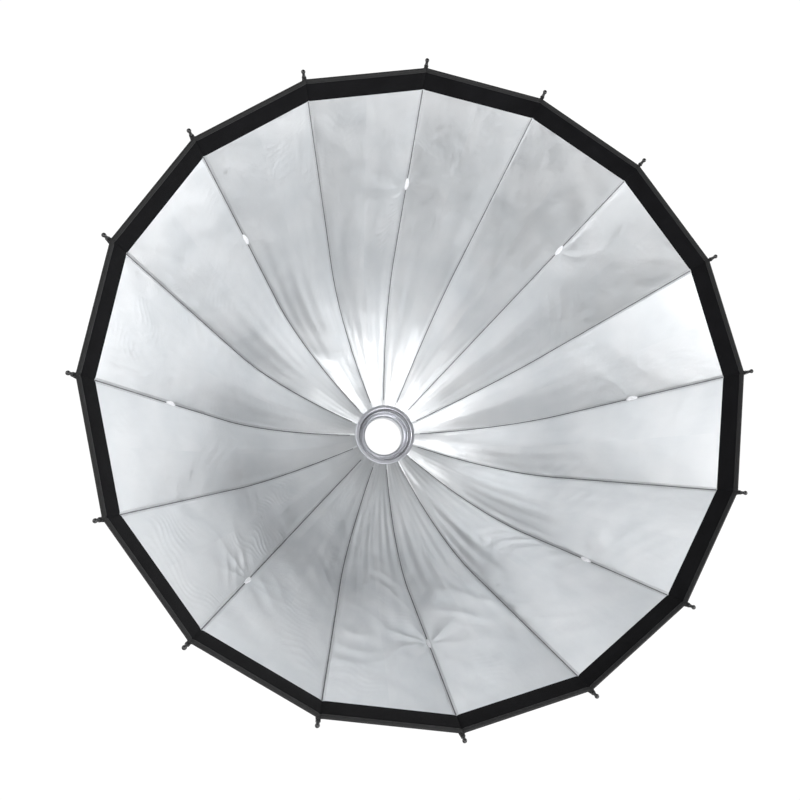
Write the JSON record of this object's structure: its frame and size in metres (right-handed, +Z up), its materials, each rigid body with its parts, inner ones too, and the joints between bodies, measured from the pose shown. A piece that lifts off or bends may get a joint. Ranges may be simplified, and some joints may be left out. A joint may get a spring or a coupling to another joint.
{
  "type": "umbrella softbox",
  "caption": "Deep round umbrella softbox: silver-lined fabric bowl on folding ribs round a speed ring with a bayonet insert, open at the front.",
  "frame": {"origin": "on the bowl's axis, in the plane where the bayonet insert seats on the lamp", "axes": "+Y along the axis towards the lamp, so the bowl opens towards -Y; +Z up, along one of the ribs; +X to the right seen from the front"},
  "size_m": [1.23, 0.7564, 1.23],
  "materials": {
    "lining_silver": "silver metallised woven lining, fine weave, soft glare",
    "shell_black": "black woven nylon shell",
    "band_black": "black hook-and-loop band and binding round the rim",
    "loop_white": "white webbing loops",
    "rib_black": "black coated spring-steel rods and moulded hinge blocks",
    "ring_silver": "satin anodised, turned",
    "ring_black": "satin black powder coat",
    "insert_metal": "turned steel",
    "spring_steel": "bright steel",
    "collar_red": "moulded nylon",
    "knob_rubber": "ribbed rubber grip"
  },
  "bodies": {
    "mount": {"bayonet_insert": "insert_metal", "insert_claws": "insert_metal"},
    "hub": {"speed_ring": "ring_black", "front_trim_ring": "ring_silver", "insert_retainer": "ring_silver", "hub_hem": "lining_silver", "hinge_pins": "spring_steel", "return_springs": "spring_steel", "rear_plate": "ring_black", "plate_screws": "spring_steel"},
    "collar": {"lock_collar": "collar_red"},
    "knob": {"lock_knob": "knob_rubber"},
    "rib_01": {"rib_01": "rib_black"},
    "rib_02": {"rib_02": "rib_black"},
    "rib_03": {"rib_03": "rib_black"},
    "rib_04": {"rib_04": "rib_black"},
    "rib_05": {"rib_05": "rib_black"},
    "rib_06": {"rib_06": "rib_black"},
    "rib_07": {"rib_07": "rib_black"},
    "rib_08": {"rib_08": "rib_black"},
    "rib_09": {"rib_09": "rib_black"},
    "rib_10": {"rib_10": "rib_black"},
    "rib_11": {"rib_11": "rib_black"},
    "rib_12": {"rib_12": "rib_black"},
    "rib_13": {"rib_13": "rib_black"},
    "rib_14": {"rib_14": "rib_black"},
    "rib_15": {"rib_15": "rib_black"},
    "rib_16": {"rib_16": "rib_black"},
    "gore_01_left": {"gore_01_left": "lining_silver"},
    "gore_01_right": {"gore_01_right": "lining_silver"},
    "gore_02_left": {"gore_02_left": "lining_silver"},
    "gore_02_right": {"gore_02_right": "lining_silver"},
    "gore_03_left": {"gore_03_left": "lining_silver"},
    "gore_03_right": {"gore_03_right": "lining_silver"},
    "gore_04_left": {"gore_04_left": "lining_silver"},
    "gore_04_right": {"gore_04_right": "lining_silver"},
    "gore_05_left": {"gore_05_left": "lining_silver"},
    "gore_05_right": {"gore_05_right": "lining_silver"},
    "gore_06_left": {"gore_06_left": "lining_silver"},
    "gore_06_right": {"gore_06_right": "lining_silver"},
    "gore_07_left": {"gore_07_left": "lining_silver"},
    "gore_07_right": {"gore_07_right": "lining_silver"},
    "gore_08_left": {"gore_08_left": "lining_silver"},
    "gore_08_right": {"gore_08_right": "lining_silver"},
    "gore_09_left": {"gore_09_left": "lining_silver"},
    "gore_09_right": {"gore_09_right": "lining_silver"},
    "gore_10_left": {"gore_10_left": "lining_silver"},
    "gore_10_right": {"gore_10_right": "lining_silver"},
    "gore_11_left": {"gore_11_left": "lining_silver"},
    "gore_11_right": {"gore_11_right": "lining_silver"},
    "gore_12_left": {"gore_12_left": "lining_silver"},
    "gore_12_right": {"gore_12_right": "lining_silver"},
    "gore_13_left": {"gore_13_left": "lining_silver"},
    "gore_13_right": {"gore_13_right": "lining_silver"},
    "gore_14_left": {"gore_14_left": "lining_silver"},
    "gore_14_right": {"gore_14_right": "lining_silver"},
    "gore_15_left": {"gore_15_left": "lining_silver"},
    "gore_15_right": {"gore_15_right": "lining_silver"},
    "gore_16_left": {"gore_16_left": "lining_silver"},
    "gore_16_right": {"gore_16_right": "lining_silver"}
  },
  "joints": [
    {"name": "ring_turn", "type": "hinge", "parent": "mount", "child": "hub", "pos_m": [0, 0, 0], "axis": [0, 1, 0], "continuous": true},
    {"name": "knob_turn", "type": "hinge", "parent": "hub", "child": "knob", "pos_m": [-0.07899, -0.0072, -0.05278], "axis": [-0.8315, 0, -0.5556], "range_deg": [0, 360]},
    {"name": "rib_01_fold", "type": "hinge", "parent": "hub", "child": "rib_01", "pos_m": [0, -0.029, 0.087], "axis": [1, 0, 0], "range_deg": [0, 36]},
    {"name": "rib_02_fold", "type": "hinge", "parent": "hub", "child": "rib_02", "pos_m": [0.03329, -0.029, 0.08038], "axis": [0.9239, 0, -0.3827], "range_deg": [0, 36]},
    {"name": "rib_03_fold", "type": "hinge", "parent": "hub", "child": "rib_03", "pos_m": [0.06152, -0.029, 0.06152], "axis": [0.7071, 0, -0.7071], "range_deg": [0, 36]},
    {"name": "rib_04_fold", "type": "hinge", "parent": "hub", "child": "rib_04", "pos_m": [0.08038, -0.029, 0.03329], "axis": [0.3827, 0, -0.9239], "range_deg": [0, 36]},
    {"name": "rib_05_fold", "type": "hinge", "parent": "hub", "child": "rib_05", "pos_m": [0.087, -0.029, 0], "axis": [0, 0, -1], "range_deg": [0, 36]},
    {"name": "rib_06_fold", "type": "hinge", "parent": "hub", "child": "rib_06", "pos_m": [0.08038, -0.029, -0.03329], "axis": [-0.3827, 0, -0.9239], "range_deg": [0, 36]},
    {"name": "rib_07_fold", "type": "hinge", "parent": "hub", "child": "rib_07", "pos_m": [0.06152, -0.029, -0.06152], "axis": [-0.7071, 0, -0.7071], "range_deg": [0, 36]},
    {"name": "rib_08_fold", "type": "hinge", "parent": "hub", "child": "rib_08", "pos_m": [0.03329, -0.029, -0.08038], "axis": [-0.9239, 0, -0.3827], "range_deg": [0, 36]},
    {"name": "rib_09_fold", "type": "hinge", "parent": "hub", "child": "rib_09", "pos_m": [0, -0.029, -0.087], "axis": [-1, 0, 0], "range_deg": [0, 36]},
    {"name": "rib_10_fold", "type": "hinge", "parent": "hub", "child": "rib_10", "pos_m": [-0.03329, -0.029, -0.08038], "axis": [-0.9239, 0, 0.3827], "range_deg": [0, 36]},
    {"name": "rib_11_fold", "type": "hinge", "parent": "hub", "child": "rib_11", "pos_m": [-0.06152, -0.029, -0.06152], "axis": [-0.7071, 0, 0.7071], "range_deg": [0, 36]},
    {"name": "rib_12_fold", "type": "hinge", "parent": "hub", "child": "rib_12", "pos_m": [-0.08038, -0.029, -0.03329], "axis": [-0.3827, 0, 0.9239], "range_deg": [0, 36]},
    {"name": "rib_13_fold", "type": "hinge", "parent": "hub", "child": "rib_13", "pos_m": [-0.087, -0.029, 0], "axis": [0, 0, 1], "range_deg": [0, 36]},
    {"name": "rib_14_fold", "type": "hinge", "parent": "hub", "child": "rib_14", "pos_m": [-0.08038, -0.029, 0.03329], "axis": [0.3827, 0, 0.9239], "range_deg": [0, 36]},
    {"name": "rib_15_fold", "type": "hinge", "parent": "hub", "child": "rib_15", "pos_m": [-0.06152, -0.029, 0.06152], "axis": [0.7071, 0, 0.7071], "range_deg": [0, 36]},
    {"name": "rib_16_fold", "type": "hinge", "parent": "hub", "child": "rib_16", "pos_m": [-0.03329, -0.029, 0.08038], "axis": [0.9239, 0, 0.3827], "range_deg": [0, 36]},
    {"name": "gore_01_left_crease", "type": "hinge", "parent": "rib_01", "child": "gore_01_left", "pos_m": [0.00938, -0.03052, -0.01959], "axis": [-0.7941, 0.6027, -0.0785], "range_deg": [0, 11.47], "deforming": ["gore_01_left"]},
    {"name": "gore_01_right_crease", "type": "hinge", "parent": "rib_01", "child": "gore_01_right", "pos_m": [-0.00938, -0.03052, -0.01959], "axis": [-0.7941, -0.6027, 0.0785], "range_deg": [0, 11.47], "deforming": ["gore_01_right"]},
    {"name": "gore_02_left_crease", "type": "hinge", "parent": "rib_02", "child": "gore_02_left", "pos_m": [0.00117, -0.03052, -0.02169], "axis": [-0.7637, 0.6027, 0.2314], "range_deg": [0, 11.47], "deforming": ["gore_02_left"]},
    {"name": "gore_02_right_crease", "type": "hinge", "parent": "rib_02", "child": "gore_02_right", "pos_m": [-0.01616, -0.03052, -0.01451], "axis": [-0.7036, -0.6027, 0.3764], "range_deg": [0, 11.47], "deforming": ["gore_02_right"]},
    {"name": "gore_03_left_crease", "type": "hinge", "parent": "rib_03", "child": "gore_03_left", "pos_m": [-0.00722, -0.03052, -0.02048], "axis": [-0.617, 0.6027, 0.506], "range_deg": [0, 11.47], "deforming": ["gore_03_left"]},
    {"name": "gore_03_right_crease", "type": "hinge", "parent": "rib_03", "child": "gore_03_right", "pos_m": [-0.02048, -0.03052, -0.00722], "axis": [-0.506, -0.6027, 0.617], "range_deg": [0, 11.47], "deforming": ["gore_03_right"]},
    {"name": "gore_04_left_crease", "type": "hinge", "parent": "rib_04", "child": "gore_04_left", "pos_m": [-0.01451, -0.03052, -0.01616], "axis": [-0.3764, 0.6027, 0.7036], "range_deg": [0, 11.47], "deforming": ["gore_04_left"]},
    {"name": "gore_04_right_crease", "type": "hinge", "parent": "rib_04", "child": "gore_04_right", "pos_m": [-0.02169, -0.03052, 0.00117], "axis": [-0.2314, -0.6027, 0.7637], "range_deg": [0, 11.47], "deforming": ["gore_04_right"]},
    {"name": "gore_05_left_crease", "type": "hinge", "parent": "rib_05", "child": "gore_05_left", "pos_m": [-0.01959, -0.03052, -0.00938], "axis": [-0.0785, 0.6027, 0.7941], "range_deg": [0, 11.47], "deforming": ["gore_05_left"]},
    {"name": "gore_05_right_crease", "type": "hinge", "parent": "rib_05", "child": "gore_05_right", "pos_m": [-0.01959, -0.03052, 0.00938], "axis": [0.0785, -0.6027, 0.7941], "range_deg": [0, 11.47], "deforming": ["gore_05_right"]},
    {"name": "gore_06_left_crease", "type": "hinge", "parent": "rib_06", "child": "gore_06_left", "pos_m": [-0.02169, -0.03052, -0.00117], "axis": [0.2314, 0.6027, 0.7637], "range_deg": [0, 11.47], "deforming": ["gore_06_left"]},
    {"name": "gore_06_right_crease", "type": "hinge", "parent": "rib_06", "child": "gore_06_right", "pos_m": [-0.01451, -0.03052, 0.01616], "axis": [0.3764, -0.6027, 0.7036], "range_deg": [0, 11.47], "deforming": ["gore_06_right"]},
    {"name": "gore_07_left_crease", "type": "hinge", "parent": "rib_07", "child": "gore_07_left", "pos_m": [-0.02048, -0.03052, 0.00722], "axis": [0.506, 0.6027, 0.617], "range_deg": [0, 11.47], "deforming": ["gore_07_left"]},
    {"name": "gore_07_right_crease", "type": "hinge", "parent": "rib_07", "child": "gore_07_right", "pos_m": [-0.00722, -0.03052, 0.02048], "axis": [0.617, -0.6027, 0.506], "range_deg": [0, 11.47], "deforming": ["gore_07_right"]},
    {"name": "gore_08_left_crease", "type": "hinge", "parent": "rib_08", "child": "gore_08_left", "pos_m": [-0.01616, -0.03052, 0.01451], "axis": [0.7036, 0.6027, 0.3764], "range_deg": [0, 11.47], "deforming": ["gore_08_left"]},
    {"name": "gore_08_right_crease", "type": "hinge", "parent": "rib_08", "child": "gore_08_right", "pos_m": [0.00117, -0.03052, 0.02169], "axis": [0.7637, -0.6027, 0.2314], "range_deg": [0, 11.47], "deforming": ["gore_08_right"]},
    {"name": "gore_09_left_crease", "type": "hinge", "parent": "rib_09", "child": "gore_09_left", "pos_m": [-0.00938, -0.03052, 0.01959], "axis": [0.7941, 0.6027, 0.0785], "range_deg": [0, 11.47], "deforming": ["gore_09_left"]},
    {"name": "gore_09_right_crease", "type": "hinge", "parent": "rib_09", "child": "gore_09_right", "pos_m": [0.00938, -0.03052, 0.01959], "axis": [0.7941, -0.6027, -0.0785], "range_deg": [0, 11.47], "deforming": ["gore_09_right"]},
    {"name": "gore_10_left_crease", "type": "hinge", "parent": "rib_10", "child": "gore_10_left", "pos_m": [-0.00117, -0.03052, 0.02169], "axis": [0.7637, 0.6027, -0.2314], "range_deg": [0, 11.47], "deforming": ["gore_10_left"]},
    {"name": "gore_10_right_crease", "type": "hinge", "parent": "rib_10", "child": "gore_10_right", "pos_m": [0.01616, -0.03052, 0.01451], "axis": [0.7036, -0.6027, -0.3764], "range_deg": [0, 11.47], "deforming": ["gore_10_right"]},
    {"name": "gore_11_left_crease", "type": "hinge", "parent": "rib_11", "child": "gore_11_left", "pos_m": [0.00722, -0.03052, 0.02048], "axis": [0.617, 0.6027, -0.506], "range_deg": [0, 11.47], "deforming": ["gore_11_left"]},
    {"name": "gore_11_right_crease", "type": "hinge", "parent": "rib_11", "child": "gore_11_right", "pos_m": [0.02048, -0.03052, 0.00722], "axis": [0.506, -0.6027, -0.617], "range_deg": [0, 11.47], "deforming": ["gore_11_right"]},
    {"name": "gore_12_left_crease", "type": "hinge", "parent": "rib_12", "child": "gore_12_left", "pos_m": [0.01451, -0.03052, 0.01616], "axis": [0.3764, 0.6027, -0.7036], "range_deg": [0, 11.47], "deforming": ["gore_12_left"]},
    {"name": "gore_12_right_crease", "type": "hinge", "parent": "rib_12", "child": "gore_12_right", "pos_m": [0.02169, -0.03052, -0.00117], "axis": [0.2314, -0.6027, -0.7637], "range_deg": [0, 11.47], "deforming": ["gore_12_right"]},
    {"name": "gore_13_left_crease", "type": "hinge", "parent": "rib_13", "child": "gore_13_left", "pos_m": [0.01959, -0.03052, 0.00938], "axis": [0.0785, 0.6027, -0.7941], "range_deg": [0, 11.47], "deforming": ["gore_13_left"]},
    {"name": "gore_13_right_crease", "type": "hinge", "parent": "rib_13", "child": "gore_13_right", "pos_m": [0.01959, -0.03052, -0.00938], "axis": [-0.0785, -0.6027, -0.7941], "range_deg": [0, 11.47], "deforming": ["gore_13_right"]},
    {"name": "gore_14_left_crease", "type": "hinge", "parent": "rib_14", "child": "gore_14_left", "pos_m": [0.02169, -0.03052, 0.00117], "axis": [-0.2314, 0.6027, -0.7637], "range_deg": [0, 11.47], "deforming": ["gore_14_left"]},
    {"name": "gore_14_right_crease", "type": "hinge", "parent": "rib_14", "child": "gore_14_right", "pos_m": [0.01451, -0.03052, -0.01616], "axis": [-0.3764, -0.6027, -0.7036], "range_deg": [0, 11.47], "deforming": ["gore_14_right"]},
    {"name": "gore_15_left_crease", "type": "hinge", "parent": "rib_15", "child": "gore_15_left", "pos_m": [0.02048, -0.03052, -0.00722], "axis": [-0.506, 0.6027, -0.617], "range_deg": [0, 11.47], "deforming": ["gore_15_left"]},
    {"name": "gore_15_right_crease", "type": "hinge", "parent": "rib_15", "child": "gore_15_right", "pos_m": [0.00722, -0.03052, -0.02048], "axis": [-0.617, -0.6027, -0.506], "range_deg": [0, 11.47], "deforming": ["gore_15_right"]},
    {"name": "gore_16_left_crease", "type": "hinge", "parent": "rib_16", "child": "gore_16_left", "pos_m": [0.01616, -0.03052, -0.01451], "axis": [-0.7036, 0.6027, -0.3764], "range_deg": [0, 11.47], "deforming": ["gore_16_left"]},
    {"name": "gore_16_right_crease", "type": "hinge", "parent": "rib_16", "child": "gore_16_right", "pos_m": [-0.00117, -0.03052, -0.02169], "axis": [-0.7637, -0.6027, -0.2314], "range_deg": [0, 11.47], "deforming": ["gore_16_right"]},
    {"name": "collar_slide", "type": "slide", "parent": "hub", "child": "collar", "axis": [0, 1, 0], "range_m": [0, 0.0046], "deforming": ["return_springs"]}
  ],
  "couplings": [
    {"joint": "rib_02_fold", "follows": "rib_01_fold", "ratio": 1},
    {"joint": "rib_03_fold", "follows": "rib_01_fold", "ratio": 1},
    {"joint": "rib_04_fold", "follows": "rib_01_fold", "ratio": 1},
    {"joint": "rib_05_fold", "follows": "rib_01_fold", "ratio": 1},
    {"joint": "rib_06_fold", "follows": "rib_01_fold", "ratio": 1},
    {"joint": "rib_07_fold", "follows": "rib_01_fold", "ratio": 1},
    {"joint": "rib_08_fold", "follows": "rib_01_fold", "ratio": 1},
    {"joint": "rib_09_fold", "follows": "rib_01_fold", "ratio": 1},
    {"joint": "rib_10_fold", "follows": "rib_01_fold", "ratio": 1},
    {"joint": "rib_11_fold", "follows": "rib_01_fold", "ratio": 1},
    {"joint": "rib_12_fold", "follows": "rib_01_fold", "ratio": 1},
    {"joint": "rib_13_fold", "follows": "rib_01_fold", "ratio": 1},
    {"joint": "rib_14_fold", "follows": "rib_01_fold", "ratio": 1},
    {"joint": "rib_15_fold", "follows": "rib_01_fold", "ratio": 1},
    {"joint": "rib_16_fold", "follows": "rib_01_fold", "ratio": 1},
    {"joint": "gore_01_left_crease", "follows": "rib_01_fold", "ratio": 0.31783},
    {"joint": "gore_01_right_crease", "follows": "rib_01_fold", "ratio": 0.31783},
    {"joint": "gore_02_left_crease", "follows": "rib_01_fold", "ratio": 0.31783},
    {"joint": "gore_02_right_crease", "follows": "rib_01_fold", "ratio": 0.31783},
    {"joint": "gore_03_left_crease", "follows": "rib_01_fold", "ratio": 0.31783},
    {"joint": "gore_03_right_crease", "follows": "rib_01_fold", "ratio": 0.31783},
    {"joint": "gore_04_left_crease", "follows": "rib_01_fold", "ratio": 0.31783},
    {"joint": "gore_04_right_crease", "follows": "rib_01_fold", "ratio": 0.31783},
    {"joint": "gore_05_left_crease", "follows": "rib_01_fold", "ratio": 0.31783},
    {"joint": "gore_05_right_crease", "follows": "rib_01_fold", "ratio": 0.31783},
    {"joint": "gore_06_left_crease", "follows": "rib_01_fold", "ratio": 0.31783},
    {"joint": "gore_06_right_crease", "follows": "rib_01_fold", "ratio": 0.31783},
    {"joint": "gore_07_left_crease", "follows": "rib_01_fold", "ratio": 0.31783},
    {"joint": "gore_07_right_crease", "follows": "rib_01_fold", "ratio": 0.31783},
    {"joint": "gore_08_left_crease", "follows": "rib_01_fold", "ratio": 0.31783},
    {"joint": "gore_08_right_crease", "follows": "rib_01_fold", "ratio": 0.31783},
    {"joint": "gore_09_left_crease", "follows": "rib_01_fold", "ratio": 0.31783},
    {"joint": "gore_09_right_crease", "follows": "rib_01_fold", "ratio": 0.31783},
    {"joint": "gore_10_left_crease", "follows": "rib_01_fold", "ratio": 0.31783},
    {"joint": "gore_10_right_crease", "follows": "rib_01_fold", "ratio": 0.31783},
    {"joint": "gore_11_left_crease", "follows": "rib_01_fold", "ratio": 0.31783},
    {"joint": "gore_11_right_crease", "follows": "rib_01_fold", "ratio": 0.31783},
    {"joint": "gore_12_left_crease", "follows": "rib_01_fold", "ratio": 0.31783},
    {"joint": "gore_12_right_crease", "follows": "rib_01_fold", "ratio": 0.31783},
    {"joint": "gore_13_left_crease", "follows": "rib_01_fold", "ratio": 0.31783},
    {"joint": "gore_13_right_crease", "follows": "rib_01_fold", "ratio": 0.31783},
    {"joint": "gore_14_left_crease", "follows": "rib_01_fold", "ratio": 0.31783},
    {"joint": "gore_14_right_crease", "follows": "rib_01_fold", "ratio": 0.31783},
    {"joint": "gore_15_left_crease", "follows": "rib_01_fold", "ratio": 0.31783},
    {"joint": "gore_15_right_crease", "follows": "rib_01_fold", "ratio": 0.31783},
    {"joint": "gore_16_left_crease", "follows": "rib_01_fold", "ratio": 0.31783},
    {"joint": "gore_16_right_crease", "follows": "rib_01_fold", "ratio": 0.31783},
    {"joint": "collar_slide", "follows": "rib_01_fold", "m_per_rad": 0.00731}
  ]
}
